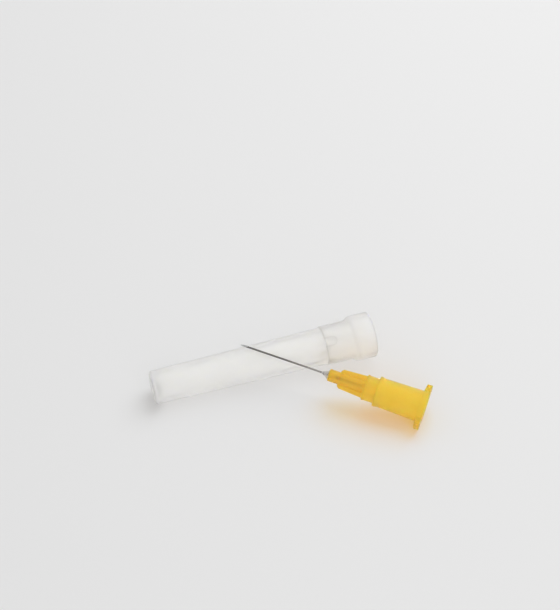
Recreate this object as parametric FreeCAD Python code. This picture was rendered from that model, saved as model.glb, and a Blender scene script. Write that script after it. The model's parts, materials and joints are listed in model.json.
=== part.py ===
"""A hypodermic needle with its protective sheath taken off, lying on a table.

The needle leans on the sheath: its luer hub stands on the table at the flange and its
cannula lies across the sheath. Millimetres, +Z up. The sheath lies along X with its
mouth towards +X, and the origin is the middle of the footprint on the table.

Every piece is made along its own X axis. The needle starts at the mouth face of the
hub and points at the tip. The sheath starts at its mouth and points at its closed end,
so a depth in the sheath and a place on the needle are measured the same way.
"""

import FreeCAD
import Part

import math
import os

V = FreeCAD.Vector

# Hub: flange and luer lock lugs
HUB_LENGTH = 17.1
FLANGE_THICKNESS = 1.05
RIM_DIAMETER = 5.9
RIM_BEVEL = 0.12
LUG_SPAN = 7.8
LUG_WIDTH = 3.4
LUG_CREST = 0.88
LUG_CORNER = 0.3

# Hub: body, bead and shoulder
BODY_REAR_DIAMETER = 5.3
BODY_FRONT_DIAMETER = 4.98
BEAD_DIAMETER = 5.22
BEAD_START = 7.8
BEAD_RAMP = 0.5
BEAD_END = 8.65
SHOULDER_DIAMETER = 4.28
SHOULDER_END = 10.75
SHOULDER_LIP_DIAMETER = 4.42
SHOULDER_LIP_LENGTH = 0.4

# Hub: finned part and nose
FIN_COUNT = 4
FIN_ROLL = -18.75
FIN_THICKNESS = 0.62
FIN_REAR_SPAN = 3.85
FIN_FRONT_SPAN = 3.25
FIN_END = 15.25
FIN_CHAMFER = 0.35
CORE_DIAMETER = 2.3
NOSE_DIAMETER = 2.12
EDGE_BEVEL = 0.08

# Hub: inside
SOCKET_DIAMETER = 4.3
LUER_TAPER = 0.06
SOCKET_DEPTH = 8.5
SOCKET_LEAD = 0.15
CHAMBER_DIAMETER = 2.7
THROAT_DIAMETER = 0.9
THROAT_START = 11.0
WELL_DIAMETER = 1.5
WELL_DEPTH = 1.2

# Cannula, 30 gauge
CANNULA_DIAMETER = 0.31
CANNULA_BORE = 0.16
CANNULA_EXPOSED = 16.0
CANNULA_START = 11.2
CANNULA_HOLE_GAP = 0.01
BEVEL_ANGLE = 12.0
LANCET_ANGLE = 17.0
LANCET_ROLL = 38.0

# Bond of clear adhesive in the well and up the cannula
BOND_MARGIN = 0.01
BOND_HEIGHT = 1.3
BOND_TOP_DIAMETER = 0.42
BOND_HOLLOW = 0.1

# Sheath: outside
SHEATH_LENGTH = 39.0
COLLAR_DIAMETER = 7.9
COLLAR_LENGTH = 4.05
COLLAR_SLOPE = 0.8
COLLAR_EASE = 1.2
GRIP_DIAMETER = 6.8
GRIP_LENGTH = 4.65
TUBE_DIAMETER = 6.4
END_DIAMETER = 5.66
END_ROUND = 0.55
STEP_BEVEL = 0.12
GATE_DIAMETER = 1.6
GATE_DEPTH = 0.2

# Sheath: inside
MOUTH_BORE = 6.3
MOUTH_DEPTH = 3.1
GRIP_BORE = 5.6
TUBE_BORE = 4.9
TUBE_BORE_TAPER = 0.02
INNER_STEP_DEPTH = 21.4
INNER_STEP = 0.15
END_WALL = 1.0
BORE_LEAD = 0.35
RIB_COUNT = 4
RIB_ROLL = 56.25
RIB_WIDTH = 1.5
RIB_START = 6.75
RIB_SQUEEZE = 0.03
RIB_LEAD = 0.3

# How the two lie
CROSSING_ANGLE = 36.3
CROSSING_FROM_SHEATH_END = 19.2
CROSSING_FROM_TIP = 3.9
RESTING_GAP = 0.02

NEEDLE_LENGTH = HUB_LENGTH + CANNULA_EXPOSED
GRIP_END = COLLAR_LENGTH + GRIP_LENGTH


def outline(corners):
    """A closed flat outline through corners, each of them sharp, bevelled or rounded.

    A corner is (x, radius), (x, radius, bevel) or (x, radius, 0, rounding). The bevel is
    how far the corner is cut back along both its sides.
    """
    starts = []
    ends = []
    edges = []
    points = [V(x, r, 0) for x, r, *_ in corners]
    for i, (_, _, *ease) in enumerate(corners):
        here = points[i]
        back = points[i - 1] - here
        ahead = points[(i + 1) % len(points)] - here
        back.normalize()
        ahead.normalize()
        bevel, rounding = (ease + [0, 0])[:2]
        half = back.getAngle(ahead) / 2
        run = bevel + rounding / math.tan(half)
        starts.append(here + back * run)
        ends.append(here + ahead * run)
        if rounding:
            middle = back + ahead
            middle.normalize()
            deep = here + middle * (rounding / math.sin(half) - rounding)
            edges.append(Part.Arc(starts[-1], deep, ends[-1]).toShape())
        elif bevel:
            edges.append(Part.LineSegment(starts[-1], ends[-1]).toShape())
    for i, start in enumerate(starts):
        edges.append(Part.LineSegment(ends[i - 1], start).toShape())
    return Part.Wire(Part.__sortEdges__(edges))


def turned(corners):
    """The solid that the outline makes when it is turned about the X axis."""
    face = Part.Face(outline(corners))
    return face.revolve(V(0, 0, 0), V(1, 0, 0), 360)


def radial_plate(corners, thickness):
    """A flat plate in a plane through the X axis, standing up from it along Y."""
    plate = Part.Face(outline(corners)).extrude(V(0, 0, thickness))
    plate.translate(V(0, 0, -thickness / 2))
    return plate


def around(feature, count, roll):
    """Copies of a feature, evenly spaced about the X axis, the first one rolled from Y."""
    copies = []
    for i in range(count):
        copy = feature.copy()
        copy.rotate(V(0, 0, 0), V(1, 0, 0), roll + i * 360 / count)
        copies.append(copy)
    return copies


def lugs():
    """Two opposite luer lock lugs along Y, with rounded corners and a sloped front face."""
    reach = LUG_SPAN / 2
    side = LUG_WIDTH / 2
    corner_y = math.sqrt((reach - LUG_CORNER) ** 2 - (side - LUG_CORNER) ** 2)
    turn = math.atan2(side - LUG_CORNER, corner_y)
    arc_end = V(0, reach * math.cos(turn), reach * math.sin(turn))
    bend = (turn + math.pi / 2) / 2
    corner_middle = V(
        0,
        corner_y + LUG_CORNER * math.cos(bend),
        side - LUG_CORNER + LUG_CORNER * math.sin(bend),
    )
    side_start = V(0, corner_y, side)

    def mirrored(point, y, z):
        return V(0, y * point.y, z * point.z)

    edges = []
    for y in (1, -1):
        tip = V(0, y * reach, 0)
        edges.append(Part.Arc(mirrored(arc_end, y, -1), tip, mirrored(arc_end, y, 1)).toShape())
        for z in (1, -1):
            arc = [mirrored(point, y, z) for point in (arc_end, corner_middle, side_start)]
            edges.append(Part.Arc(*arc).toShape())
    for z in (1, -1):
        line = [mirrored(side_start, y, z) for y in (1, -1)]
        edges.append(Part.LineSegment(*line).toShape())
    plate = Part.Face(Part.Wire(Part.__sortEdges__(edges))).extrude(V(FLANGE_THICKNESS, 0, 0))

    rim = RIM_DIAMETER / 2
    slope = (FLANGE_THICKNESS - LUG_CREST) / (reach - rim)
    outside = reach + LUG_CREST
    inside = (SOCKET_DIAMETER + BODY_REAR_DIAMETER) / 4
    sloped_disc = turned([
        (0, inside),
        (0, outside),
        (LUG_CREST - slope * (outside - reach), outside),
        (FLANGE_THICKNESS, rim),
        (FLANGE_THICKNESS, inside),
    ])
    return plate.common(sloped_disc)


def hub():
    """The moulded hub: flange, body, bead, shoulder, fins and nose, with the luer socket."""
    rim = RIM_DIAMETER / 2
    bead = BEAD_DIAMETER / 2
    shoulder = SHOULDER_DIAMETER / 2
    lip = SHOULDER_LIP_DIAMETER / 2
    core = CORE_DIAMETER / 2
    nose = NOSE_DIAMETER / 2
    well = WELL_DIAMETER / 2
    hole = CANNULA_DIAMETER / 2 + CANNULA_HOLE_GAP
    throat = THROAT_DIAMETER / 2
    chamber = CHAMBER_DIAMETER / 2
    socket = SOCKET_DIAMETER / 2
    socket_end = socket - SOCKET_DEPTH * LUER_TAPER / 2
    lip_start = SHOULDER_END - SHOULDER_LIP_LENGTH
    shell = turned([
        (0, socket + SOCKET_LEAD),
        (0, rim),
        (FLANGE_THICKNESS, rim, RIM_BEVEL),
        (FLANGE_THICKNESS, BODY_REAR_DIAMETER / 2),
        (BEAD_START, BODY_FRONT_DIAMETER / 2),
        (BEAD_START + BEAD_RAMP, bead),
        (BEAD_END, bead, EDGE_BEVEL),
        (BEAD_END, shoulder),
        (lip_start, shoulder),
        (lip_start + EDGE_BEVEL, lip),
        (SHOULDER_END, lip, EDGE_BEVEL),
        (SHOULDER_END, core),
        (FIN_END, nose),
        (HUB_LENGTH, nose, EDGE_BEVEL),
        (HUB_LENGTH, well),
        (HUB_LENGTH - WELL_DEPTH, hole),
        (CANNULA_START, hole),
        (THROAT_START, throat),
        (SOCKET_DEPTH, chamber),
        (SOCKET_DEPTH, socket_end),
        (SOCKET_LEAD, socket - SOCKET_LEAD * LUER_TAPER / 2),
    ])
    fin_foot = (core + hole) / 2
    fin = radial_plate([
        (lip_start, fin_foot),
        (lip_start, FIN_REAR_SPAN / 2),
        (SHOULDER_END, FIN_REAR_SPAN / 2),
        (FIN_END, FIN_FRONT_SPAN / 2, FIN_CHAMFER),
        (FIN_END, fin_foot),
    ], FIN_THICKNESS)
    return shell.fuse([lugs()] + around(fin, FIN_COUNT, FIN_ROLL)).removeSplitter()


def half_space(point, normal):
    """A large block that fills the side of a plane that its normal points to."""
    size = NEEDLE_LENGTH
    block = Part.makeBox(size, size, size, V(-size / 2, -size / 2, 0))
    block.Placement = FreeCAD.Placement(point, FreeCAD.Rotation(V(0, 0, 1), normal)).multiply(
        block.Placement
    )
    return block


def facet_normal(angle, roll):
    """Outward normal of a ground facet at an angle to the axis, rolled about it."""
    slant = math.radians(angle)
    turn = math.radians(roll)
    across = math.cos(slant)
    return V(math.sin(slant), across * math.sin(turn), across * math.cos(turn))


def cannula():
    """The steel tube, with a lancet point: one long bevel and two side facets."""
    length = NEEDLE_LENGTH - CANNULA_START
    start = V(CANNULA_START, 0, 0)
    along = V(1, 0, 0)
    tube = Part.makeCylinder(CANNULA_DIAMETER / 2, length, start, along)
    tube = tube.cut(Part.makeCylinder(CANNULA_BORE / 2, length, start, along))
    point = V(NEEDLE_LENGTH, 0, -CANNULA_DIAMETER / 2)
    facets = [(BEVEL_ANGLE, 0), (LANCET_ANGLE, LANCET_ROLL), (LANCET_ANGLE, -LANCET_ROLL)]
    for angle, roll in facets:
        tube = tube.cut(half_space(point, facet_normal(angle, roll)))
    return tube


def bond():
    """The adhesive that fills the well, covers the nose's face and climbs the cannula."""
    outer = CANNULA_DIAMETER / 2
    base = V(HUB_LENGTH, NOSE_DIAMETER / 2 - EDGE_BEVEL - BOND_MARGIN, 0)
    top = V(HUB_LENGTH + BOND_HEIGHT, BOND_TOP_DIAMETER / 2, 0)
    middle = (base + top) / 2 - V(BOND_HOLLOW, BOND_HOLLOW, 0)
    points = [
        top,
        V(top.x, outer, 0),
        V(HUB_LENGTH - WELL_DEPTH, outer, 0),
        V(HUB_LENGTH - WELL_DEPTH, outer + CANNULA_HOLE_GAP, 0),
        V(HUB_LENGTH, WELL_DIAMETER / 2, 0),
        base,
    ]
    edges = [Part.Arc(base, middle, top).toShape()]
    for a, b in zip(points, points[1:]):
        edges.append(Part.LineSegment(a, b).toShape())
    face = Part.Face(Part.Wire(Part.__sortEdges__(edges)))
    return face.revolve(V(0, 0, 0), V(1, 0, 0), 360)


def tube_radius(x):
    """Outer radius of the sheath's tapered tube at a depth past its grip part."""
    share = (x - GRIP_END) / (SHEATH_LENGTH - GRIP_END)
    return (TUBE_DIAMETER + share * (END_DIAMETER - TUBE_DIAMETER)) / 2


def tube_bore_radius(x):
    """Radius of the sheath's long bore at a depth, before its inner step is taken off."""
    return TUBE_BORE / 2 - (x - GRIP_END) * TUBE_BORE_TAPER / 2


def grip_rib():
    """One low rib along the grip's bore, with a round end, that holds the hub's bead."""
    half = RIB_WIDTH / 2
    start = RIB_START + half
    tips = V(start, 0, half), V(RIB_START, 0, 0), V(start, 0, -half)
    ends = V(GRIP_END, 0, half), V(GRIP_END, 0, -half)
    plan = Part.Wire(Part.__sortEdges__([
        Part.Arc(*tips).toShape(),
        Part.LineSegment(tips[0], ends[0]).toShape(),
        Part.LineSegment(tips[2], ends[1]).toShape(),
        Part.LineSegment(*ends).toShape(),
    ]))
    foot = (GRIP_BORE + GRIP_DIAMETER) / 4
    crest = BEAD_DIAMETER / 2 - RIB_SQUEEZE
    band = turned([
        (RIB_START, foot),
        (RIB_START, GRIP_BORE / 2),
        (RIB_START + RIB_LEAD, crest),
        (GRIP_END, crest),
        (GRIP_END, foot),
    ])
    return Part.Face(plan).extrude(V(0, foot, 0)).common(band)


def sheath():
    """The moulded sheath: mouth collar, grip part with inner ribs, and closed tapered tube."""
    gate = GATE_DIAMETER / 2
    mouth = MOUTH_BORE / 2
    grip_bore = GRIP_BORE / 2
    bottom = SHEATH_LENGTH - END_WALL
    step_top = tube_bore_radius(INNER_STEP_DEPTH)
    shell = turned([
        (0, mouth, STEP_BEVEL),
        (0, COLLAR_DIAMETER / 2, STEP_BEVEL),
        (COLLAR_LENGTH - COLLAR_SLOPE, COLLAR_DIAMETER / 2, 0, COLLAR_EASE),
        (COLLAR_LENGTH, GRIP_DIAMETER / 2),
        (GRIP_END, GRIP_DIAMETER / 2, STEP_BEVEL),
        (GRIP_END, TUBE_DIAMETER / 2),
        (SHEATH_LENGTH, END_DIAMETER / 2, 0, END_ROUND),
        (SHEATH_LENGTH, gate + GATE_DEPTH),
        (SHEATH_LENGTH - GATE_DEPTH, gate),
        (SHEATH_LENGTH - GATE_DEPTH, 0),
        (bottom, 0),
        (bottom, tube_bore_radius(bottom) - INNER_STEP, END_ROUND),
        (INNER_STEP_DEPTH + INNER_STEP, step_top - INNER_STEP),
        (INNER_STEP_DEPTH, step_top),
        (GRIP_END, TUBE_BORE / 2),
        (GRIP_END - BORE_LEAD, grip_bore),
        (MOUTH_DEPTH + BORE_LEAD, grip_bore),
        (MOUTH_DEPTH, mouth),
    ])
    return shell.fuse(around(grip_rib(), RIB_COUNT, RIB_ROLL)).removeSplitter()


def lowest(shape):
    """Height of a shape's lowest point."""
    return shape.optimalBoundingBox(False, False).ZMin


def placed(shape, placement):
    """A copy of a shape at a placement."""
    copy = shape.copy()
    copy.Placement = placement.multiply(copy.Placement)
    return copy


def turned_to(plan, down, roll):
    """The rotation of a piece that points along plan, dips by down and is rolled, in degrees."""
    return FreeCAD.Rotation(plan, down, roll)


def sheath_placement(solid):
    """The sheath lies on the rounding behind its collar and on the one at its closed end."""
    slope = math.atan2((COLLAR_DIAMETER - GRIP_DIAMETER) / 2, COLLAR_SLOPE)
    ease_start = COLLAR_LENGTH - COLLAR_SLOPE - COLLAR_EASE * math.tan(slope / 2)
    run = (SHEATH_LENGTH - END_ROUND) - ease_start
    drop = (COLLAR_DIAMETER / 2 - COLLAR_EASE) - (END_DIAMETER / 2 - END_ROUND)
    down = math.atan2(drop, run) + math.asin((COLLAR_EASE - END_ROUND) / math.hypot(run, drop))
    rotation = turned_to(180, math.degrees(down), 0)
    height = -lowest(placed(solid, FreeCAD.Placement(V(0, 0, 0), rotation)))
    return FreeCAD.Placement(V(0, 0, height), rotation)


def lug_tilt():
    """How far the hub rolls before one lug's corner comes down on the table, in degrees."""
    corner = math.asin((LUG_WIDTH / 2 - LUG_CORNER) / (LUG_SPAN / 2 - LUG_CORNER))
    hull = math.acos((RIM_DIAMETER / 2 - LUG_CORNER) / (LUG_SPAN / 2 - LUG_CORNER))
    return 90 - math.degrees(corner + hull)


def needle_placement(hub_solid, sheath_at):
    """The hub's flange stands on the table and the cannula lies on the sheath.

    Its rise is found by halving: a needle that rises too little comes out with its
    flange above the table, because the cannula's height on the sheath is fixed.
    """
    depth = SHEATH_LENGTH - CROSSING_FROM_SHEATH_END
    crossing = sheath_at.multVec(V(depth, 0, 0))
    sheath_axis = sheath_at.Rotation.multVec(V(1, 0, 0))
    apart = tube_radius(depth) + CANNULA_DIAMETER / 2 + RESTING_GAP
    low, high = 0.0, 30.0
    while high - low > 1e-7:
        rise = (low + high) / 2
        rotation = turned_to(180 - CROSSING_ANGLE, -rise, -lug_tilt())
        axis = rotation.multVec(V(1, 0, 0))
        up = axis.cross(sheath_axis)
        up.normalize()
        if up.z < 0:
            up = -up
        mouth = crossing + up * apart - axis * (NEEDLE_LENGTH - CROSSING_FROM_TIP)
        standing = -lowest(placed(hub_solid, FreeCAD.Placement(V(0, 0, 0), rotation)))
        if mouth.z > standing:
            low = rise
        else:
            high = rise
    return FreeCAD.Placement(mouth, rotation)


def main():
    needle = {"hub": hub(), "cannula": cannula(), "bond": bond()}
    sheath_solid = sheath()
    sheath_at = sheath_placement(sheath_solid)
    needle_at = needle_placement(needle["hub"], sheath_at)
    nodes = {"sheath": placed(sheath_solid, sheath_at)}
    for name, solid in needle.items():
        nodes[name] = placed(solid, needle_at)

    box = Part.makeCompound(list(nodes.values())).optimalBoundingBox(False, False)
    home = V(-box.Center.x, -box.Center.y, -box.ZMin)
    os.makedirs("parts", exist_ok=True)
    for name, solid in nodes.items():
        solid.translate(home)
        solid.exportStep(os.path.join("parts", name + ".step"))
        print(name, "valid" if solid.isValid() else "NOT VALID", round(solid.Volume, 3))
    for name, placement in (("sheath mouth", sheath_at), ("luer socket", needle_at)):
        place = placement.Base + home
        out = placement.Rotation.multVec(V(-1, 0, 0))
        print(name, [round(c, 4) for c in place], "axis out", [round(c, 6) for c in out])
    print("size", [round(c, 3) for c in (box.XLength, box.YLength, box.ZLength)])


main()
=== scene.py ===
"""The looks of a hypodermic needle that leans on its taken-off protective sheath.

Each piece is modelled in millimetres in its own frame, as it is moulded or drawn: X runs
from the open mouth into the piece, and the radius lies across it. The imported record's two
mounts then say where the sheath and the needle lie.
"""

import json
import math

import bmesh
import bpy
from mathutils import Matrix, Vector

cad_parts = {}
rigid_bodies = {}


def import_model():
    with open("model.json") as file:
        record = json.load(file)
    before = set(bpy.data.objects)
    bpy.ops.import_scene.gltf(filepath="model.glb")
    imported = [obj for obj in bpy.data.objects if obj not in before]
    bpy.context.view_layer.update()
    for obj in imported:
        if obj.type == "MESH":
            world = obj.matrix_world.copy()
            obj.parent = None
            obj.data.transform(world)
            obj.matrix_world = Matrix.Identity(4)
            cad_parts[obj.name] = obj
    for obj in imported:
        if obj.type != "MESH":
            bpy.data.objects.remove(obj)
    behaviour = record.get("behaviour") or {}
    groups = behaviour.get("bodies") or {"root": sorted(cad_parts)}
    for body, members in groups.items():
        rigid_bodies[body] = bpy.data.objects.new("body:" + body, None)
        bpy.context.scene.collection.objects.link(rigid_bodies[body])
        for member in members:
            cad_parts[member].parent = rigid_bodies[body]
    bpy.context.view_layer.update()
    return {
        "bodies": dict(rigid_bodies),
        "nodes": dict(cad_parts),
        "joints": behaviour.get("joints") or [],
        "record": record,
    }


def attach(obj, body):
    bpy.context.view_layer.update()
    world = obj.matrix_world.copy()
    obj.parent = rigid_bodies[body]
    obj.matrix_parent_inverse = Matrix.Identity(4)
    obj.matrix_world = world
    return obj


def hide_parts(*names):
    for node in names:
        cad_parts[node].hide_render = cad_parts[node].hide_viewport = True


MILLIMETRE = 0.001
TURN = 2 * math.pi

# Hub: flange and luer lock lugs
HUB_LENGTH = 17.1
FLANGE_THICKNESS = 1.05
RIM_DIAMETER = 5.9
RIM_ROUND = 0.12
RIM_ROUND_STEPS = 3
LUG_SPAN = 7.8
LUG_WIDTH = 3.4
LUG_CREST = 0.88
LUG_CORNER = 0.3
LUG_CORNER_STEPS = 3

# Hub: body, bead and shoulder
BODY_REAR_DIAMETER = 5.3
BODY_FRONT_DIAMETER = 4.98
BEAD_DIAMETER = 5.22
BEAD_START = 7.8
BEAD_RAMP = 0.5
BEAD_END = 8.65
BEAD_ROUND = 0.1
SHOULDER_DIAMETER = 4.28
SHOULDER_END = 10.75
SHOULDER_LIP_DIAMETER = 4.42
SHOULDER_LIP_LENGTH = 0.4
EDGE_ROUND = 0.08

# Hub: finned part and nose
FIN_COUNT = 4
FIN_ROLL = math.radians(-18.75)
FIN_THICKNESS = 0.62
FIN_REAR_SPAN = 3.85
FIN_FRONT_SPAN = 3.25
FIN_END = 15.25
FIN_CHAMFER = 0.35
FIN_ROUND = 0.05
FIN_ROUND_STEPS = 2
CORE_DIAMETER = 2.3
NOSE_DIAMETER = 2.12

# Hub: inside
SOCKET_DIAMETER = 4.3
LUER_TAPER = 0.06
SOCKET_DEPTH = 8.5
SOCKET_LEAD = 0.15
CHAMBER_DIAMETER = 2.7
THROAT_DIAMETER = 0.9
THROAT_START = 11.0
WELL_DIAMETER = 1.5
WELL_DEPTH = 1.2

# Cannula, 30 gauge
CANNULA_DIAMETER = 0.31
CANNULA_BORE = 0.16
CANNULA_EXPOSED = 16.0
CANNULA_START = 11.2
CANNULA_HOLE_GAP = 0.01
BEVEL_ANGLE = math.radians(12)
LANCET_ANGLE = math.radians(17)
LANCET_ROLL = math.radians(38)
NEEDLE_LENGTH = HUB_LENGTH + CANNULA_EXPOSED

# Bond of clear adhesive
BOND_MARGIN = 0.01
BOND_HEIGHT = 1.3
BOND_TOP_DIAMETER = 0.42
BOND_HOLLOW = 0.1
BOND_STEPS = 8

# Sheath: outside
SHEATH_LENGTH = 39.0
COLLAR_DIAMETER = 7.9
COLLAR_LENGTH = 4.05
COLLAR_SLOPE = 0.8
COLLAR_EASE = 1.2
GRIP_DIAMETER = 6.8
GRIP_LENGTH = 4.65
GRIP_END = COLLAR_LENGTH + GRIP_LENGTH
GRIP_SLOPE = 0.2
TUBE_DIAMETER = 6.4
END_DIAMETER = 5.66
END_ROUND = 0.55
STEP_ROUND = 0.12
GATE_DIAMETER = 1.6
GATE_DEPTH = 0.2

# Sheath: inside
MOUTH_BORE = 6.3
MOUTH_DEPTH = 3.1
GRIP_BORE = 5.6
TUBE_BORE = 4.9
TUBE_BORE_TAPER = 0.02
INNER_STEP_DEPTH = 21.4
INNER_STEP = 0.15
END_WALL = 1.0
BORE_LEAD = 0.35
RIB_COUNT = 4
RIB_ROLL = math.radians(56.25)
RIB_WIDTH = 1.5
RIB_START = 6.75
RIB_SQUEEZE = 0.03
RIB_LEAD = 0.3

# Painted shade: dark lines painted where the sheath's wall turns. As shares of the ribs' rims: how
# dark the step between the ribs and the mouth's lip are, and how much shows on the outside
BETWEEN_RIBS = 0.3
MOUTH_LIP = 0.12
THROUGH_WALL = 0.13

# How far from its place such a line is full, and how far from it the line has faded
RIM_FULL = 0.06
RIM_FADED = 0.14
STEP_FULL = 0.1
STEP_FADED = 0.25
BORE_FULL = 0.05
BORE_FADED = 0.1
GRIP_FULL = 0.05
GRIP_FADED = 0.15
RIB_FADED = 0.1

# Where the tone changes along a piece: the hub gets solid, the sheath nears its closed end,
# which is painted lighter as painted light, and the cannula comes away from the hub, near
# which it is painted paler as a painted reflection
SOLID_FROM = THROAT_START - 0.8
SOLID_FULL = THROAT_START + 0.6
END_TONE_FROM = SHEATH_LENGTH - 2.0
END_TONE_FULL = SHEATH_LENGTH - 0.5
PALE_FULL = HUB_LENGTH + 2.0
PALE_FADED = HUB_LENGTH + 8.0

# Where it changes across a piece: round the cannula's hole in the hub, which is painted dark
# as painted shade, and where grinding has gone below the cannula's outside, as shares of the
# hole's and the cannula's radius
HOLE_FULL = 1.05
HOLE_FADED = 1.4
GROUND_FROM = 0.99
GROUND_FULL = 0.97

# Colours. In a pair, the first is the darker end of what clouds or lines blend between
AMBER_THIN = (0.985, 0.765, 0.10, 1), (0.998, 0.80, 0.12, 1)
AMBER_SOLID = (0.985, 0.64, 0.075, 1), (0.995, 0.68, 0.09, 1)
# Painted shade on the wall of the cannula's hole in the hub, for the dark line that the cannula
# and its hole make inside the plastic
AMBER_HOLE_SHADE = (0.22, 0.09, 0.01, 1)
AMBER_DEPTH = (1.0, 0.8, 0.0, 1)
AMBER_LIGHT = (0.97, 0.83, 0.40, 1)
MILKY = (0.947, 0.943, 0.912, 1), (0.967, 0.963, 0.937, 1)
# Painted light: the sheath's closed end is coloured lighter
MILKY_END_PAINTED_LIGHT = (0.99, 0.985, 0.96, 1)
# Painted shade for the lines where the sheath's wall turns
MILKY_TURN_SHADE = (0.28, 0.27, 0.25, 1)
MILKY_LIGHT = (0.965, 0.96, 0.955, 1)
MILKY_END_LIGHT = (0.72, 0.71, 0.70, 1)
# Painted reflection: the cannula's tube is coloured dark for the dark surroundings it mirrors, and
# paler near the hub
STEEL_PAINTED_DARK = (0.15, 0.14, 0.13, 1), (0.24, 0.225, 0.21, 1)
STEEL_PAINTED_PALE = (0.34, 0.32, 0.30, 1), (0.44, 0.42, 0.40, 1)
STEEL_GROUND = (0.42, 0.42, 0.42, 1), (0.62, 0.62, 0.62, 1)
STEEL_GLOSS = (0.5, 0.48, 0.46, 1)
ADHESIVE = (0.60, 0.585, 0.57, 1), (0.76, 0.745, 0.73, 1)
ADHESIVE_LIGHT = (0.94, 0.94, 0.94, 1)

# How strongly the hub's plastic absorbs light, per metre
AMBER_DENSITY = 300

# Depths of the fine unevenness in metres, and the lines' share of it beside the clouds
AMBER_BUMP = 1.5e-6
MILKY_BUMP = 2e-6
STEEL_BUMP = 3e-6
ADHESIVE_BUMP = 2e-5
LINE_HEIGHT = 0.15

# Where most of a noise's values lie
NOISE_LOW = 0.3
NOISE_HIGH = 0.7

# Rubbed marks: how they turn, how many widths long they are, above which level of the noise
# they show where they are many or few, how soft their edges are, and the patches they keep to
MARK_TURN = (0.4, 0.7, 0.3)
MARK_LENGTH = 14.0
MARK_MANY = 0.45
MARK_FEW = 0.75
MARK_EDGE = 0.06
PATCH_SCALE = 0.35
PATCH_LOW = 0.45
PATCH_HIGH = 0.6

# The strokes on the cannula's ground facets, which run across it
STROKE_SPACING = 0.02
STROKE_LENGTH = 0.4

# How finely round things are divided
SEGMENTS = 96
SHEATH_SEGMENTS = 192
CANNULA_SEGMENTS = 48
EASE_STEPS = 4
SMOOTH_BELOW = math.radians(35)
SHARP_ABOVE = math.radians(45)

# Spin steps that half of a fin, of a lug and of a rib takes up
FIN_STEPS = round(math.asin(FIN_THICKNESS / CORE_DIAMETER) / TURN * SEGMENTS)
LUG_STEPS = round(math.asin(LUG_WIDTH / RIM_DIAMETER) / TURN * SEGMENTS)
RIB_STEPS = round(math.asin(RIB_WIDTH / GRIP_BORE) / TURN * SHEATH_SEGMENTS)

# How close counts: for two lengths to be the same, for places to be merged, for a cut to
# take them, and, as a share of its radius, for a flat face to belong to a round thing
CLOSE = 1e-3
MERGED = 1e-4
ON_CUT = 1e-5
FACET_SHARE = 0.01

# Camera: the lens looks at AIM, a point on the table, from this distance, height and side
AIM = Vector((0.005, 0.024, 0.0))
CAMERA_DISTANCE = 0.2948
CAMERA_ELEVATION = math.radians(44.56)
CAMERA_AZIMUTH = math.radians(-17.18)
SENSOR_WIDTH = 36.0
FOCAL_LENGTH = 96.67
CLIP_NEAR = 0.01
CLIP_FAR = 100.0

# The main lamp's place and size in metres: to the camera's right, beyond the origin and up
LAMP_RIGHT = 0.22
LAMP_BEYOND = 0.30
LAMP_HEIGHT = 0.50
LAMP_SIZE = 0.60
LAMP_POWER = 2.7

# The same for a weaker lamp, low on the camera's side
FILL_RIGHT = 0.05
FILL_NEARER = 0.50
FILL_HEIGHT = 0.25
FILL_SIZE = 0.60
FILL_POWER = 1.25

# Light from all round, background and floor
WORLD_LIGHT = 0.39
BACKGROUND_LEVEL = 0.80
FLOOR_SIZE = 8.0
FLOOR_COLOUR = (0.80, 0.80, 0.80, 1.0)
FLOOR_ROUGHNESS = 0.7
FLOOR_GLOSS = 0.2


def eased(corners):
    """Points along an outline. A corner with a third value is rounded with that radius."""
    points = []
    for i, (x, r, *ease) in enumerate(corners):
        here = Vector((x, r, 0))
        if not ease:
            points.append(here)
            continue
        back = (Vector((*corners[i - 1][:2], 0)) - here).normalized()
        ahead = (Vector((*corners[(i + 1) % len(corners)][:2], 0)) - here).normalized()
        half = back.angle(ahead) / 2
        start = here + back * (ease[0] / math.tan(half))
        middle = here + (back + ahead).normalized() * (ease[0] / math.sin(half))
        side = -back.cross(ahead).normalized()
        for k in range(EASE_STEPS + 1):
            bend = Matrix.Rotation((math.pi - 2 * half) * k / EASE_STEPS, 3, side)
            points.append(middle + bend @ (start - middle))
    return points


def spun(outline, closed, segments=SEGMENTS):
    """A turned shape: the outline spun about the X axis."""
    bm = bmesh.new()
    verts = [bm.verts.new(point) for point in outline]
    for a, b in zip(verts, verts[1:] + verts[:1] * closed):
        bm.edges.new((a, b))
    bmesh.ops.spin(
        bm, geom=verts + bm.edges[:], cent=(0, 0, 0), axis=(1, 0, 0), dvec=(0, 0, 0),
        angle=TURN, steps=segments, use_merge=True, use_duplicate=False,
    )
    bmesh.ops.remove_doubles(bm, verts=bm.verts, dist=MERGED)
    bmesh.ops.recalc_face_normals(bm, faces=bm.faces)
    return bm


def radius(place):
    """Distance of a place from the X axis."""
    return math.hypot(place.y, place.z)


def from_feature(place, angle):
    """A place in the frame of a feature that stands at an angle."""
    return Matrix.Rotation(-angle, 3, "X") @ place


def steps_from(place, angle, segments=SEGMENTS):
    """How many spin steps a place lies from an angle about the X axis, as a signed number."""
    turned = from_feature(place, angle)
    return math.atan2(turned.z, turned.y) / TURN * segments


def column(vert, angle, segments=SEGMENTS):
    """The whole number of spin steps from an angle to a vertex."""
    return round(steps_from(vert.co, angle, segments))


def in_sector(face, angle, half_steps):
    """Whether a face lies within some spin steps of an angle."""
    return abs(steps_from(face.calc_center_median(), angle)) < half_steps


def set_place(vert, angle, x, y, z):
    """Puts a vertex at a place given in the frame of a feature that stands at an angle."""
    vert.co = Matrix.Rotation(angle, 3, "X") @ Vector((x, y, z))


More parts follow.
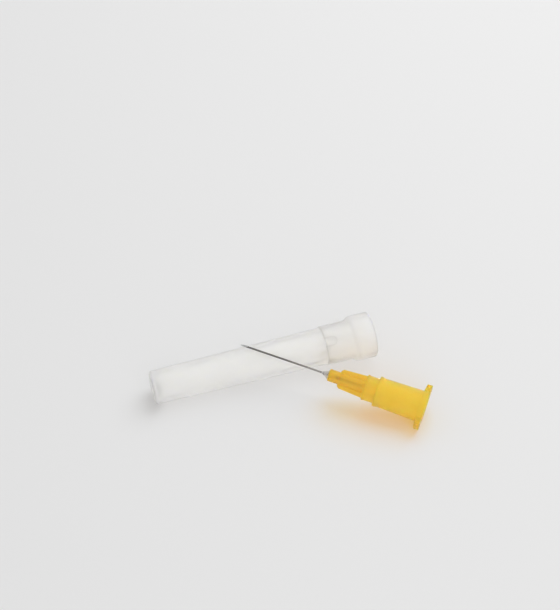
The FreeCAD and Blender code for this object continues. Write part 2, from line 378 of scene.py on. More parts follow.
def raise_faces(bm, faces):
    """Extrudes faces as one region and returns the new vertices, still where they began."""
    grown = bmesh.ops.extrude_face_region(bm, geom=faces)
    raised = [v for v in grown["geom"] if isinstance(v, bmesh.types.BMVert)]
    bmesh.ops.delete(bm, geom=faces, context="FACES")
    return raised


def sharp_edges(bm, inside):
    """The outward sharp edges with both ends where inside says."""
    return [
        e for e in bm.edges
        if len(e.link_faces) == 2
        and e.calc_face_angle_signed() > SHARP_ABOVE
        and inside(e.verts[0].co) and inside(e.verts[1].co)
    ]


def round_edges(bm, edges, size, steps):
    """Rounds edges over."""
    bmesh.ops.bevel(
        bm, geom=edges, offset=size, offset_type="OFFSET", segments=steps, profile=0.5,
        affect="EDGES", clamp_overlap=True, material=-1,
    )


def finished(bm, name, frame, node, material):
    """Puts a modelled piece in its place as an object that stands for a node."""
    bmesh.ops.transform(bm, matrix=Matrix.Scale(MILLIMETRE, 4) @ frame, verts=bm.verts)
    mesh = bpy.data.meshes.new(name)
    bm.to_mesh(mesh)
    bm.free()
    mesh.shade_smooth()
    mesh.set_sharp_from_angle(angle=SMOOTH_BELOW)
    mesh.materials.append(material)
    piece = bpy.data.objects.new(name, mesh)
    bpy.context.scene.collection.objects.link(piece)
    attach(piece, "root")
    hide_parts(node)


def mount_frame(mount, set_in, roll):
    """A piece's frame in millimetres, from its roll and the mount set this far into it."""
    out = Vector(mount["axis"]).normalized()
    x = -out
    z = (Vector((0, 0, 1)) - x * x.z).normalized()
    y = z.cross(x)
    turn = Matrix.Rotation(roll, 3, x)
    axes = Matrix((x, turn @ y, turn @ z)).transposed()
    origin = Vector(mount["pos_m"]) / MILLIMETRE + out * set_in
    return Matrix.Translation(origin) @ axes.to_4x4()


def lug_tilt():
    """How far the hub rolls before one lug's corner comes down on the table."""
    corner = math.asin((LUG_WIDTH / 2 - LUG_CORNER) / (LUG_SPAN / 2 - LUG_CORNER))
    hull = math.acos((RIM_DIAMETER / 2 - LUG_CORNER) / (LUG_SPAN / 2 - LUG_CORNER))
    return math.pi / 2 - corner - hull


def core_radius(x):
    """Radius of the hub's core between the shoulder and the fins' front end."""
    share = (x - SHOULDER_END) / (FIN_END - SHOULDER_END)
    return (CORE_DIAMETER + share * (NOSE_DIAMETER - CORE_DIAMETER)) / 2


def fin_height(x):
    """Height of a fin's crest above the axis, before its front chamfer."""
    share = (x - SHOULDER_END) / (FIN_END - SHOULDER_END)
    return (FIN_REAR_SPAN + share * (FIN_FRONT_SPAN - FIN_REAR_SPAN)) / 2


def hub_outline():
    """Half section of the turned hub: outside from the mouth to the nose, inside back."""
    rim = RIM_DIAMETER / 2
    bead = BEAD_DIAMETER / 2
    shoulder = SHOULDER_DIAMETER / 2
    lip = SHOULDER_LIP_DIAMETER / 2
    lip_start = SHOULDER_END - SHOULDER_LIP_LENGTH
    socket = SOCKET_DIAMETER / 2
    hole = CANNULA_DIAMETER / 2 + CANNULA_HOLE_GAP
    chamfer_start = FIN_END - FIN_CHAMFER
    return eased([
        (0, rim),
        (FLANGE_THICKNESS, rim),
        (FLANGE_THICKNESS, BODY_REAR_DIAMETER / 2),
        (BEAD_START, BODY_FRONT_DIAMETER / 2),
        (BEAD_START + BEAD_RAMP, bead, BEAD_ROUND),
        (BEAD_END, bead, BEAD_ROUND),
        (BEAD_END, shoulder),
        (lip_start, shoulder),
        (lip_start + EDGE_ROUND, lip),
        (SHOULDER_END, lip, EDGE_ROUND),
        (SHOULDER_END, FIN_REAR_SPAN / 2),
        (SHOULDER_END, CORE_DIAMETER / 2),
        (chamfer_start, core_radius(chamfer_start)),
        (FIN_END, NOSE_DIAMETER / 2),
        (HUB_LENGTH, NOSE_DIAMETER / 2, EDGE_ROUND),
        (HUB_LENGTH, WELL_DIAMETER / 2),
        (HUB_LENGTH - WELL_DEPTH, hole),
        (CANNULA_START, hole),
        (THROAT_START, THROAT_DIAMETER / 2),
        (SOCKET_DEPTH, CHAMBER_DIAMETER / 2),
        (SOCKET_DEPTH, socket - SOCKET_DEPTH * LUER_TAPER / 2),
        (SOCKET_LEAD, socket - SOCKET_LEAD * LUER_TAPER / 2),
        (0, socket + SOCKET_LEAD),
    ])


def near(a, b):
    """Whether two lengths are the same."""
    return abs(a - b) < CLOSE


def raise_fin(bm, angle):
    """Draws one fin out of the core, and opens the shoulder's face where it stands on it."""
    half = FIN_THICKNESS / 2
    ring = FIN_REAR_SPAN / 2
    for v in bm.verts:
        k = column(v, angle)
        r = radius(v.co)
        if near(v.co.x, SHOULDER_END) and near(r, ring) and abs(k) <= FIN_STEPS:
            set_place(v, angle, SHOULDER_END, ring, half * k / FIN_STEPS)
        elif SHOULDER_END - CLOSE < v.co.x < FIN_END + CLOSE and abs(k) == FIN_STEPS:
            if NOSE_DIAMETER / 2 - CLOSE < r < CORE_DIAMETER / 2 + CLOSE:
                z = math.copysign(half, k)
                set_place(v, angle, v.co.x, math.sqrt(r * r - half * half), z)

    def is_core(face):
        c = face.calc_center_median()
        return SHOULDER_END < c.x < FIN_END and radius(c) > WELL_DIAMETER / 2

    def is_foot(face):
        c = face.calc_center_median()
        return near(c.x, SHOULDER_END) and CORE_DIAMETER / 2 < radius(c) < ring

    def is_hidden(face):
        flat = all(near(v.co.x, SHOULDER_END) for v in face.verts)
        return flat and radius(face.calc_center_median()) < ring

    sector = [f for f in bm.faces if in_sector(f, angle, FIN_STEPS)]
    core = [f for f in sector if is_core(f)]
    foot = [f for f in sector if is_foot(f)]
    bmesh.ops.delete(bm, geom=foot, context="FACES")
    for v in raise_faces(bm, core):
        x = v.co.x
        crest = fin_height(x) - FIN_CHAMFER * near(x, FIN_END)
        set_place(v, angle, x, crest, half * column(v, angle) / FIN_STEPS)
    hidden = [f for f in bm.faces if is_hidden(f) and in_sector(f, angle, FIN_STEPS)]
    bmesh.ops.delete(bm, geom=hidden, context="FACES")
    loose = [v for v in bm.verts if not v.link_faces]
    bmesh.ops.delete(bm, geom=loose, context="VERTS")
    bmesh.ops.remove_doubles(bm, verts=bm.verts, dist=MERGED)


def lug_edge(k):
    """Where the edge of a lug runs at a column: a rounded corner, then the crest's arc."""
    reach = LUG_SPAN / 2
    side = LUG_WIDTH / 2 - LUG_CORNER
    corner = math.sqrt((reach - LUG_CORNER) ** 2 - side ** 2)
    turn = math.atan2(side, corner)
    on_crest = LUG_STEPS - LUG_CORNER_STEPS
    if abs(k) <= on_crest:
        angle = turn * k / on_crest
        return reach * math.cos(angle), reach * math.sin(angle)
    bend = turn + (math.pi / 2 - turn) * (abs(k) - on_crest) / (LUG_STEPS - on_crest)
    y = corner + LUG_CORNER * math.cos(bend)
    z = side + LUG_CORNER * math.sin(bend)
    return y, math.copysign(z, k)


def raise_lug(bm, angle):
    """Draws one luer lock lug out of the flange's rim."""
    rim = RIM_DIAMETER / 2
    half = LUG_WIDTH / 2
    slope = (FLANGE_THICKNESS - LUG_CREST) / (LUG_SPAN / 2 - rim)
    for v in bm.verts:
        if near(radius(v.co), rim) and abs(column(v, angle)) == LUG_STEPS:
            z = math.copysign(half, column(v, angle))
            set_place(v, angle, v.co.x, math.sqrt(rim * rim - half * half), z)

    def is_rim(face):
        c = face.calc_center_median()
        return 0 < c.x < FLANGE_THICKNESS and abs(radius(c) / rim - 1) < FACET_SHARE

    band = [f for f in bm.faces if is_rim(f) and in_sector(f, angle, LUG_STEPS)]
    for v in raise_faces(bm, band):
        y, z = lug_edge(column(v, angle))
        drop = slope * (math.hypot(y, z) - rim) if v.co.x > 0 else 0
        set_place(v, angle, v.co.x - drop, y, z)


def hub(frame, material):
    """The moulded hub: a turned shape with two lugs and four fins drawn out of it."""
    bm = spun(hub_outline(), closed=True)
    for i in range(FIN_COUNT):
        raise_fin(bm, FIN_ROLL + i * TURN / FIN_COUNT)
    for angle in (0, math.pi):
        raise_lug(bm, angle)
    bmesh.ops.recalc_face_normals(bm, faces=bm.faces)
    rim = RIM_DIAMETER / 2 - CLOSE
    flange = sharp_edges(bm, lambda p: p.x < FLANGE_THICKNESS + CLOSE and radius(p) > rim)
    round_edges(bm, flange, RIM_ROUND, RIM_ROUND_STEPS)
    core = CORE_DIAMETER / 2 + CLOSE
    fins = sharp_edges(bm, lambda p: p.x > SHOULDER_END - CLOSE and radius(p) > core)
    fins = [e for e in fins if not all(near(v.co.x, SHOULDER_END) for v in e.verts)]
    round_edges(bm, fins, FIN_ROUND, FIN_ROUND_STEPS)
    finished(bm, "moulded_hub", frame, "hub", material)


def cannula(frame, material):
    """The drawn steel tube with its lancet point: one long bevel and two side facets."""
    outer = CANNULA_DIAMETER / 2
    inner = CANNULA_BORE / 2
    outline = [
        Vector((x, r, 0))
        for x, r in (
            (CANNULA_START, outer), (NEEDLE_LENGTH, outer),
            (NEEDLE_LENGTH, inner), (CANNULA_START, inner),
        )
    ]
    bm = spun(outline, closed=True, segments=CANNULA_SEGMENTS)
    point = Vector((NEEDLE_LENGTH, 0, -outer))
    grinds = (BEVEL_ANGLE, 0), (LANCET_ANGLE, LANCET_ROLL), (LANCET_ANGLE, -LANCET_ROLL)
    for slant, turn in grinds:
        across = math.cos(slant)
        normal = Vector((math.sin(slant), across * math.sin(turn), across * math.cos(turn)))
        cut = bmesh.ops.bisect_plane(
            bm, geom=bm.verts[:] + bm.edges[:] + bm.faces[:], dist=ON_CUT,
            plane_co=point, plane_no=normal, clear_outer=True,
        )
        rim = [e for e in cut["geom_cut"] if isinstance(e, bmesh.types.BMEdge)]
        bmesh.ops.triangle_fill(bm, edges=rim, use_beauty=True, use_dissolve=False)
    bmesh.ops.recalc_face_normals(bm, faces=bm.faces)
    finished(bm, "drawn_cannula", frame, "cannula", material)


def bond(frame, material):
    """The adhesive that fills the nose's well and climbs the cannula in a hollow cone."""
    outer = CANNULA_DIAMETER / 2
    base = Vector((HUB_LENGTH, NOSE_DIAMETER / 2 - EDGE_ROUND - BOND_MARGIN, 0))
    top = Vector((HUB_LENGTH + BOND_HEIGHT, BOND_TOP_DIAMETER / 2, 0))
    outline = [
        Vector((top.x, outer, 0)),
        Vector((HUB_LENGTH - WELL_DEPTH, outer, 0)),
        Vector((HUB_LENGTH - WELL_DEPTH, outer + CANNULA_HOLE_GAP, 0)),
        Vector((HUB_LENGTH, WELL_DIAMETER / 2, 0)),
    ]
    for k in range(BOND_STEPS + 1):
        share = k / BOND_STEPS
        sag = 4 * share * (1 - share) * BOND_HOLLOW
        outline.append(base.lerp(top, share) - Vector((sag, sag, 0)))
    bm = spun(outline, closed=True, segments=CANNULA_SEGMENTS)
    finished(bm, "cured_bond", frame, "bond", material)


def bore_radius(x):
    """Radius of the sheath's long bore at a depth, before its inner step is taken off."""
    return TUBE_BORE / 2 - (x - GRIP_END) * TUBE_BORE_TAPER / 2


def rib_crest():
    """Radius that the ribs' crests leave free: they grip the hub's bead."""
    return BEAD_DIAMETER / 2 - RIB_SQUEEZE


def rib_end():
    """Depth at which the ribs' crests run out on the cone between the two bores."""
    rise = (GRIP_BORE / 2 - rib_crest()) / (GRIP_BORE / 2 - TUBE_BORE / 2)
    return GRIP_END - BORE_LEAD + rise * BORE_LEAD


def sheath_outline():
    """Half section of the sheath: outside from the closed end to the mouth, inside back."""
    gate = GATE_DIAMETER / 2
    mouth = MOUTH_BORE / 2
    grip_bore = GRIP_BORE / 2
    bottom = SHEATH_LENGTH - END_WALL
    step_top = bore_radius(INNER_STEP_DEPTH)
    return eased([
        (SHEATH_LENGTH - GATE_DEPTH, 0),
        (SHEATH_LENGTH - GATE_DEPTH, gate),
        (SHEATH_LENGTH, gate + GATE_DEPTH),
        (SHEATH_LENGTH, END_DIAMETER / 2, END_ROUND),
        (GRIP_END + GRIP_SLOPE / 2, TUBE_DIAMETER / 2, STEP_ROUND),
        (GRIP_END - GRIP_SLOPE / 2, GRIP_DIAMETER / 2, STEP_ROUND),
        (COLLAR_LENGTH, GRIP_DIAMETER / 2),
        (COLLAR_LENGTH - COLLAR_SLOPE, COLLAR_DIAMETER / 2, COLLAR_EASE),
        (0, COLLAR_DIAMETER / 2, STEP_ROUND),
        (0, mouth, STEP_ROUND),
        (MOUTH_DEPTH, mouth),
        (MOUTH_DEPTH + BORE_LEAD, grip_bore),
        (RIB_START + RIB_WIDTH / 2, grip_bore),
        (GRIP_END - BORE_LEAD, grip_bore),
        (rib_end(), rib_crest()),
        (GRIP_END, TUBE_BORE / 2),
        (INNER_STEP_DEPTH, step_top),
        (INNER_STEP_DEPTH + INNER_STEP, step_top - INNER_STEP),
        (bottom, bore_radius(bottom) - INNER_STEP, END_ROUND),
        (bottom, 0),
    ])


def raise_rib(bm, angle):
    """Draws one grip rib out of the bore, towards the axis, with a round end at its front."""
    half = RIB_WIDTH / 2
    bore = GRIP_BORE / 2
    start = RIB_START + half
    for v in bm.verts:
        x = v.co.x
        r = radius(v.co)
        share = column(v, angle, SHEATH_SEGMENTS) / RIB_STEPS
        if abs(share) > 1 or r > bore + CLOSE or not start - CLOSE < x < rib_end() + CLOSE:
            continue
        z = half * share
        if near(x, start):
            x = start - math.sqrt(half * half - z * z)
        set_place(v, angle, x, math.sqrt(r * r - z * z), z)

    def is_strip(face):
        c = from_feature(face.calc_center_median(), angle)
        return RIB_START < c.x < rib_end() and radius(c) < bore and c.y > 0 and abs(c.z) < half

    crest = rib_crest()
    for v in raise_faces(bm, [f for f in bm.faces if is_strip(f)]):
        z = from_feature(v.co, angle).z
        lead = RIB_LEAD * (v.co.x < start + CLOSE)
        set_place(v, angle, v.co.x + lead, math.sqrt(crest * crest - z * z), z)
    bmesh.ops.remove_doubles(bm, verts=bm.verts, dist=MERGED)


def sheath(frame, material):
    """The moulded sheath: mouth collar, grip part with inner ribs, and closed tapered tube."""
    bm = spun(sheath_outline(), closed=False, segments=SHEATH_SEGMENTS)
    for i in range(RIB_COUNT):
        raise_rib(bm, RIB_ROLL + i * TURN / RIB_COUNT)
    bmesh.ops.recalc_face_normals(bm, faces=bm.faces)
    finished(bm, "moulded_sheath", frame, "sheath", material)


def add(tree, kind, inputs=None, **settings):
    """Adds a node. Its inputs are values, or the outputs of other nodes to link."""
    node = tree.nodes.new("ShaderNode" + kind)
    for name, setting in settings.items():
        setattr(node, name, setting)
    for socket, value in (inputs or {}).items():
        if isinstance(value, bpy.types.NodeSocket):
            tree.links.new(value, node.inputs[socket])
        else:
            node.inputs[socket].default_value = value
    return node


def maths(tree, operation, *values):
    """The output of a sum, a product or the like of values and outputs."""
    return add(tree, "Math", dict(enumerate(values)), operation=operation).outputs[0]


def ranged(tree, value, low, high, to_low, to_high):
    """The output of a value mapped from one range to another, and kept inside it."""
    limits = {"From Min": low, "From Max": high, "To Min": to_low, "To Max": to_high}
    return add(tree, "MapRange", {"Value": value, **limits}).outputs["Result"]


def blended(tree, share, first, second):
    """The output of two colours blended by a share."""
    return add(tree, "Mix", {0: share, 6: first, 7: second}, data_type="RGBA").outputs[2]


def shader_group(name, inputs, output):
    """A node group with a place and named values in, and one value out."""
    tree = bpy.data.node_groups.new(name, "ShaderNodeTree")
    tree.interface.new_socket("Place", in_out="INPUT", socket_type="NodeSocketVector")
    for label, value in inputs.items():
        socket = tree.interface.new_socket(label, in_out="INPUT", socket_type="NodeSocketFloat")
        socket.default_value = value
    tree.interface.new_socket(output, in_out="OUTPUT", socket_type="NodeSocketFloat")
    given = tree.nodes.new("NodeGroupInput").outputs
    result = tree.nodes.new("NodeGroupOutput").inputs[output]
    return tree, given, result


def stretched(tree, place, along, across):
    """The output of a place divided by one length along the piece and another across it."""
    lengths = add(tree, "CombineXYZ", {0: along, 1: across, 2: across}).outputs[0]
    return add(tree, "VectorMath", {0: place, 1: lengths}, operation="DIVIDE").outputs[0]


def flow_clouds():
    """Soft clouds, longer along the piece, as where molten plastic flowed and cooled."""
    tree, given, result = shader_group("flow_clouds", {"Size": 2.0, "Flow": 2.0}, "Cloud")
    along = maths(tree, "MULTIPLY", given["Size"], given["Flow"])
    place = stretched(tree, given["Place"], along, given["Size"])
    noise = add(tree, "TexNoise", {"Vector": place, "Scale": 1.0, "Detail": 3.0, "Roughness": 0.5})
    cloud = ranged(tree, noise.outputs["Fac"], NOISE_LOW, NOISE_HIGH, 0.0, 1.0)
    tree.links.new(cloud, result)
    return tree


def drawn_lines():
    """Fine lines along the piece, as a mould's or a die's draw leaves them."""
    tree, given, result = shader_group("drawn_lines", {"Spacing": 0.1, "Length": 5.0}, "Lines")
    place = stretched(tree, given["Place"], given["Length"], given["Spacing"])
    noise = add(tree, "TexNoise", {"Vector": place, "Scale": 1.0, "Detail": 2.0, "Roughness": 0.6})
    lines = ranged(tree, noise.outputs["Fac"], NOISE_LOW, NOISE_HIGH, 0.0, 1.0)
    tree.links.new(lines, result)
    return tree


def rubbed_marks():
    """A few short fine scuffs that run round the piece, as from other parts in the box."""
    tree, given, result = shader_group("rubbed_marks", {"Spacing": 0.2, "Amount": 0.5}, "Marks")
    slanted = add(tree, "Mapping", {"Vector": given["Place"], "Rotation": MARK_TURN})
    long_way = maths(tree, "MULTIPLY", given["Spacing"], MARK_LENGTH)
    fine = stretched(tree, slanted.outputs[0], given["Spacing"], long_way)
    line = add(tree, "TexNoise", {"Vector": fine, "Scale": 1.0, "Detail": 1.0}).outputs["Fac"]
    patch = add(tree, "TexNoise", {"Vector": given["Place"], "Scale": PATCH_SCALE})
    spare = maths(tree, "SUBTRACT", 1.0, given["Amount"])
    low = ranged(tree, spare, 0.0, 1.0, MARK_MANY, MARK_FEW)
    mark = ranged(tree, line, low, maths(tree, "ADD", low, MARK_EDGE), 0.0, 1.0)
    where = ranged(tree, patch.outputs["Fac"], PATCH_LOW, PATCH_HIGH, 0.0, 1.0)
    tree.links.new(maths(tree, "MULTIPLY", mark, where), result)
    return tree


def put(tree, group, place, **values):
    """Places a node group in a material and gives its output."""
    node = add(tree, "Group", node_tree=group)
    tree.links.new(place, node.inputs["Place"])
    for label, value in values.items():
        node.inputs[label].default_value = value
    return node.outputs[0]


def new_material(name, frame, **plain):
    """A material with plain values on its shader, and the piece's own millimetres as places."""
    material = bpy.data.materials.new(name)
    material.use_nodes = True
    tree = material.node_tree
    shader = tree.nodes["Principled BSDF"]
    for label, value in plain.items():
        shader.inputs[label.replace("_", " ")].default_value = value
    spot, turn, _ = frame.decompose()
    place = add(tree, "Mapping", {
        "Vector": add(tree, "TexCoord").outputs["Object"],
        "Location": spot * MILLIMETRE,
        "Rotation": turn.to_euler(),
        "Scale": (MILLIMETRE, MILLIMETRE, MILLIMETRE),
    }, vector_type="TEXTURE").outputs[0]
    return material, tree, shader, place


def axis_distance(tree, parts):
    """The output of a place's distance from the X axis."""
    across = add(tree, "CombineXYZ", {1: parts["Y"], 2: parts["Z"]}).outputs[0]
    return add(tree, "VectorMath", {0: across}, operation="LENGTH").outputs["Value"]


def roughened(tree, shader, base, *layers):
    """Gives a shader a base roughness, and adds a share of each layer to it."""
    rough = base
    for layer, share in layers:
        rough = maths(tree, "MULTIPLY_ADD", layer, share, rough)
    tree.links.new(rough, shader.inputs["Roughness"])


def bumped(tree, shader, height, depth):
    """Turns a height into a bump of a given depth in metres."""
    bump = add(tree, "Bump", {"Height": height, "Distance": depth, "Strength": 1.0})
    tree.links.new(bump.outputs["Normal"], shader.inputs["Normal"])


def absorbing(tree, colour, density):
    """Gives the inside of a material a tint that deepens with its thickness."""
    inside = add(tree, "VolumeAbsorption", {"Color": colour, "Density": density})
    output = next(n for n in tree.nodes if n.type == "OUTPUT_MATERIAL")
    tree.links.new(inside.outputs[0], output.inputs["Volume"])


def clear_to_light(tree, shader, tint):
    """Lets light fall through the piece with a tint at each surface, so its shadow is coloured."""
    rays = add(tree, "LightPath").outputs
    falling = maths(tree, "MAXIMUM", rays["Is Shadow Ray"], rays["Is Diffuse Ray"])
    through = add(tree, "BsdfTransparent", {"Color": tint})
    mix = add(tree, "MixShader", {0: falling, 1: shader.outputs[0], 2: through.outputs[0]})
    tree.links.new(mix.outputs[0], tree.nodes["Material Output"].inputs["Surface"])


def amber_polypropylene(frame):
    """The hub's plastic: translucent amber with a soft gloss.

    It is deeper in tint where it is solid, and painted dark round the hole that the cannula fills,
    as painted shade.
    """
    material, tree, shader, place = new_material(
        "amber_polypropylene", frame, IOR=1.49, Transmission_Weight=0.58, Specular_IOR_Level=0.3,
        Subsurface_Weight=1.0, Subsurface_Scale=0.0012, Subsurface_Radius=(1.0, 0.6, 0.15),
    )
    cloud = put(tree, CLOUDS, place, Size=1.6, Flow=2.5)
    lines = put(tree, LINES, place, Spacing=0.12, Length=5.0)
    marks = put(tree, MARKS, place, Spacing=0.09, Amount=0.35)
    parts = add(tree, "SeparateXYZ", {0: place}).outputs
    solid = ranged(tree, parts["X"], SOLID_FROM, SOLID_FULL, 0.0, 1.0)
    hole = CANNULA_DIAMETER / 2 + CANNULA_HOLE_GAP
    reach = axis_distance(tree, parts)
    # Painted shade: the plastic round the cannula's hole is coloured dark
    inner = ranged(tree, reach, hole * HOLE_FULL, hole * HOLE_FADED, 1.0, 0.0)
    thin = blended(tree, cloud, *AMBER_THIN)
    tint = blended(tree, solid, thin, blended(tree, cloud, *AMBER_SOLID))
    tree.links.new(blended(tree, inner, tint, AMBER_HOLE_SHADE), shader.inputs["Base Color"])
    roughened(tree, shader, 0.32, (lines, 0.03), (cloud, 0.04), (marks, 0.05))
    bumped(tree, shader, maths(tree, "MULTIPLY_ADD", lines, LINE_HEIGHT, cloud), AMBER_BUMP)
    absorbing(tree, AMBER_DEPTH, AMBER_DENSITY)
    clear_to_light(tree, shader, AMBER_LIGHT)
    return material


def painted_turn_shade(tree, parts):
    """Painted shade lines where the wall turns: at the mouth's lip, round the ribs and at the step
    behind them.
    """
    half = RIB_WIDTH / 2
    pitch = TURN / RIB_COUNT
    reach = axis_distance(tree, parts)
    angle = maths(tree, "SUBTRACT", maths(tree, "ARCTAN2", parts["Z"], parts["Y"]), RIB_ROLL)
    angle = maths(tree, "WRAP", angle, pitch / 2, -pitch / 2)
    # out is the distance from the nearest rib's middle line, or from its round end's middle
    side = maths(tree, "MULTIPLY", maths(tree, "SINE", angle), reach)
    ahead = maths(tree, "SUBTRACT", parts["X"], RIB_START + half)
    ahead = maths(tree, "MINIMUM", ahead, 0.0)
    flat = add(tree, "CombineXYZ", {0: ahead, 1: side}).outputs[0]
    out = add(tree, "VectorMath", {0: flat}, operation="LENGTH").outputs["Value"]
    off = maths(tree, "ABSOLUTE", maths(tree, "SUBTRACT", out, half))
    rim = ranged(tree, off, RIM_FULL, RIM_FADED, 1.0, 0.0)
    # The step starts at the ramp, and shows only between the ribs
    ramp = GRIP_END - BORE_LEAD
    step = ranged(tree, parts["X"], ramp - STEP_FADED, ramp - STEP_FULL, 0.0, 1.0)
    between = ranged(tree, out, half - RIB_FADED, half, 0.0, BETWEEN_RIBS)
    line = maths(tree, "MAXIMUM", rim, maths(tree, "MULTIPLY", step, between))
    bore = GRIP_BORE / 2
    inside = ranged(tree, reach, bore + BORE_FULL, bore + BORE_FADED, 1.0, THROUGH_WALL)
    front = ranged(tree, parts["X"], GRIP_END + GRIP_FULL, GRIP_END + GRIP_FADED, 1.0, 0.0)
    line = maths(tree, "MULTIPLY", line, maths(tree, "MULTIPLY", inside, front))
    lip = ranged(tree, parts["X"], STEP_ROUND, STEP_ROUND * 2, MOUTH_LIP, 0.0)
    return maths(tree, "MAXIMUM", line, lip)


def milky_polypropylene(frame):
    """The sheath's plastic: uncoloured, milky and partly see-through.

    The outlines of its inner ribs, inner step and mouth's lip are painted shade lines, and its
    closed end is painted lighter as painted light.
    """
    material, tree, shader, place = new_material(
        "milky_polypropylene", frame, IOR=1.12, Transmission_Weight=0.65, Specular_IOR_Level=0.4,
        Subsurface_Weight=1.0, Subsurface_Scale=0.001, Subsurface_Radius=(1.0, 1.0, 0.9),
    )
    cloud = put(tree, CLOUDS, place, Size=2.2, Flow=3.0)
    lines = put(tree, LINES, place, Spacing=0.15, Length=9.0)
    marks = put(tree, MARKS, place, Spacing=0.1, Amount=0.4)
    parts = add(tree, "SeparateXYZ", {0: place}).outputs
    end = ranged(tree, parts["X"], END_TONE_FROM, END_TONE_FULL, 0.0, 1.0)
    # Painted light: the closed end is coloured lighter
    tint = blended(tree, end, blended(tree, cloud, *MILKY), MILKY_END_PAINTED_LIGHT)
    # Painted shade lines where the wall turns
    tint = blended(tree, painted_turn_shade(tree, parts), tint, MILKY_TURN_SHADE)
    tree.links.new(tint, shader.inputs["Base Color"])
    roughened(tree, shader, 0.28, (lines, 0.04), (cloud, 0.04), (marks, 0.04))
    bumped(tree, shader, maths(tree, "MULTIPLY_ADD", lines, LINE_HEIGHT, cloud), MILKY_BUMP)
    clear_to_light(tree, shader, blended(tree, end, MILKY_LIGHT, MILKY_END_LIGHT))
    return material


def drawn_steel(frame):
    """The cannula's stainless steel: drawn lines, darkened all along as a painted dark reflection,
    paler at the hub as a painted lighter reflection, and brighter ground facets.
    """
    material, tree, shader, place = new_material(
        "drawn_steel", frame, Metallic=1.0, Specular_Tint=STEEL_GLOSS,
    )
    parts = add(tree, "SeparateXYZ", {0: place}).outputs
    reach = axis_distance(tree, parts)
    outer = CANNULA_DIAMETER / 2
    ground = ranged(tree, reach, outer * GROUND_FROM, outer * GROUND_FULL, 0.0, 1.0)
    lines = put(tree, LINES, place, Spacing=0.03, Length=6.0)
    across = stretched(tree, place, STROKE_SPACING, STROKE_LENGTH)
    noise = add(tree, "TexNoise", {"Vector": across, "Scale": 1.0, "Detail": 2.0})
    strokes = noise.outputs["Fac"]
    # Painted reflection: the tube is coloured dark, and paler near the hub
    rear = ranged(tree, parts["X"], PALE_FULL, PALE_FADED, 1.0, 0.0)
    pale = blended(tree, lines, *STEEL_PAINTED_PALE)
    drawn = blended(tree, rear, blended(tree, lines, *STEEL_PAINTED_DARK), pale)
    facet = blended(tree, strokes, *STEEL_GROUND)
    tree.links.new(blended(tree, ground, drawn, facet), shader.inputs["Base Color"])
    roughened(tree, shader, 0.24, (lines, 0.12), (ground, 0.06))
    height = add(tree, "Mix", {0: ground, 2: lines, 3: strokes}).outputs[0]
    bumped(tree, shader, height, STEEL_BUMP)
    return material


def cured_adhesive(frame):
    """The bond's clear adhesive, a little cloudy, with a glossy uneven skin."""
    material, tree, shader, place = new_material(
        "cured_adhesive", frame, IOR=1.5, Transmission_Weight=0.35,
        Subsurface_Weight=1.0, Subsurface_Scale=0.0006, Subsurface_Radius=(1.0, 1.0, 1.0),
    )
    cloud = put(tree, CLOUDS, place, Size=0.5, Flow=1.2)
    tree.links.new(blended(tree, cloud, *ADHESIVE), shader.inputs["Base Color"])
    roughened(tree, shader, 0.24, (cloud, 0.12))
    bumped(tree, shader, cloud, ADHESIVE_BUMP)
    clear_to_light(tree, shader, ADHESIVE_LIGHT)
    return material


def seen_rays(tree):
    """The output that is 1 where the camera sees a thing, itself, reflected or through glass."""
    rays = add(tree, "LightPath").outputs
    direct = maths(tree, "MAXIMUM", rays["Is Camera Ray"], rays["Is Glossy Ray"])
    return maths(tree, "MAXIMUM", direct, rays["Is Transmission Ray"])


def floor():
    """A plain pale floor."""
    bm = bmesh.new()
    bmesh.ops.create_grid(bm, x_segments=1, y_segments=1, size=FLOOR_SIZE / 2)
    mesh = bpy.data.meshes.new("floor")
    bm.to_mesh(mesh)
    bm.free()
    material = bpy.data.materials.new("pale_floor")
    material.use_nodes = True
    shader = material.node_tree.nodes["Principled BSDF"]
    shader.inputs["Base Color"].default_value = FLOOR_COLOUR
    shader.inputs["Roughness"].default_value = FLOOR_ROUGHNESS
    shader.inputs["Specular IOR Level"].default_value = FLOOR_GLOSS
    mesh.materials.append(material)
    ground = bpy.data.objects.new("floor", mesh)
    bpy.context.scene.collection.objects.link(ground)


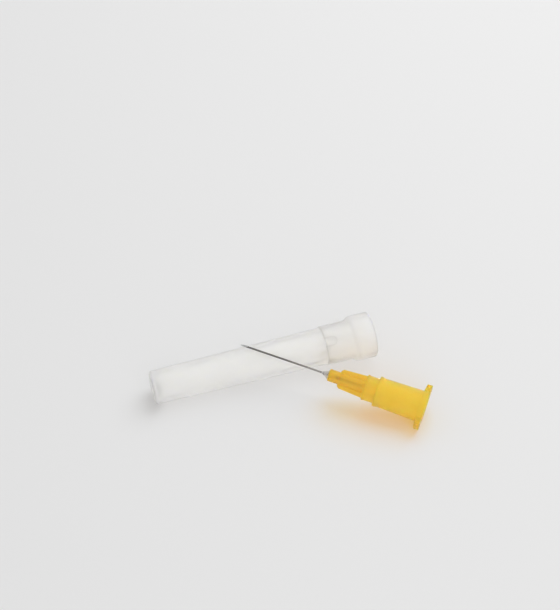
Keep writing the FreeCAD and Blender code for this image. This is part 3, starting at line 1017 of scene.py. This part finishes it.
def camera():
    """The camera at the photograph's viewing angle, and its directions right and level ahead."""
    right = Vector((math.cos(CAMERA_AZIMUTH), math.sin(CAMERA_AZIMUTH), 0))
    level = Vector((-right.y, right.x, 0))
    ahead = level * math.cos(CAMERA_ELEVATION) - Vector((0, 0, math.sin(CAMERA_ELEVATION)))
    lens = bpy.data.cameras.new("camera")
    lens.sensor_width = SENSOR_WIDTH
    lens.lens = FOCAL_LENGTH
    lens.clip_start = CLIP_NEAR
    lens.clip_end = CLIP_FAR
    eye = bpy.data.objects.new("camera", lens)
    eye.location = AIM - ahead * CAMERA_DISTANCE
    eye.rotation_mode = "QUATERNION"
    eye.rotation_quaternion = ahead.to_track_quat("-Z", "Y")
    bpy.context.scene.collection.objects.link(eye)
    bpy.context.scene.camera = eye
    return right, level


def lamp(name, place, size, power):
    """A large soft lamp that faces the part. It leaves no bright mirror image in the pieces."""
    light = bpy.data.lights.new(name, "AREA")
    light.shape = "DISK"
    light.size = size
    light.energy = power
    thing = bpy.data.objects.new(name, light)
    thing.visible_transmission = False
    thing.visible_glossy = False
    thing.location = place
    thing.rotation_mode = "QUATERNION"
    thing.rotation_quaternion = (-thing.location).to_track_quat("-Z", "Y")
    bpy.context.scene.collection.objects.link(thing)


def world():
    """Even light from all round, and a pale background for what is seen directly."""
    sky = bpy.data.worlds.new("studio")
    sky.use_nodes = True
    tree = sky.node_tree
    tree.nodes.clear()
    white = (1, 1, 1, 1)
    light = add(tree, "Background", {"Color": white, "Strength": WORLD_LIGHT})
    backdrop = add(tree, "Background", {"Color": white, "Strength": BACKGROUND_LEVEL})
    mix = add(tree, "MixShader", {0: seen_rays(tree), 1: light.outputs[0], 2: backdrop.outputs[0]})
    add(tree, "OutputWorld", {"Surface": mix.outputs[0]})
    bpy.context.scene.world = sky


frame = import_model()
mounts = {m["name"]: m for m in frame["record"]["mounts"]}
sheath_frame = mount_frame(mounts["sheath_mouth"], STEP_ROUND, 0)
needle_frame = mount_frame(mounts["luer_socket"], 0, -lug_tilt())

CLOUDS = flow_clouds()
LINES = drawn_lines()
MARKS = rubbed_marks()

hub(needle_frame, amber_polypropylene(needle_frame))
cannula(needle_frame, drawn_steel(needle_frame))
bond(needle_frame, cured_adhesive(needle_frame))
sheath(sheath_frame, milky_polypropylene(sheath_frame))

floor()
right, level = camera()
up = Vector((0, 0, 1))
main_place = right * LAMP_RIGHT + level * LAMP_BEYOND + up * LAMP_HEIGHT
fill_place = right * FILL_RIGHT - level * FILL_NEARER + up * FILL_HEIGHT
lamp("main_lamp", main_place, LAMP_SIZE, LAMP_POWER)
lamp("fill_lamp", fill_place, FILL_SIZE, FILL_POWER)
world()
bpy.context.scene.view_settings.view_transform = "Standard"
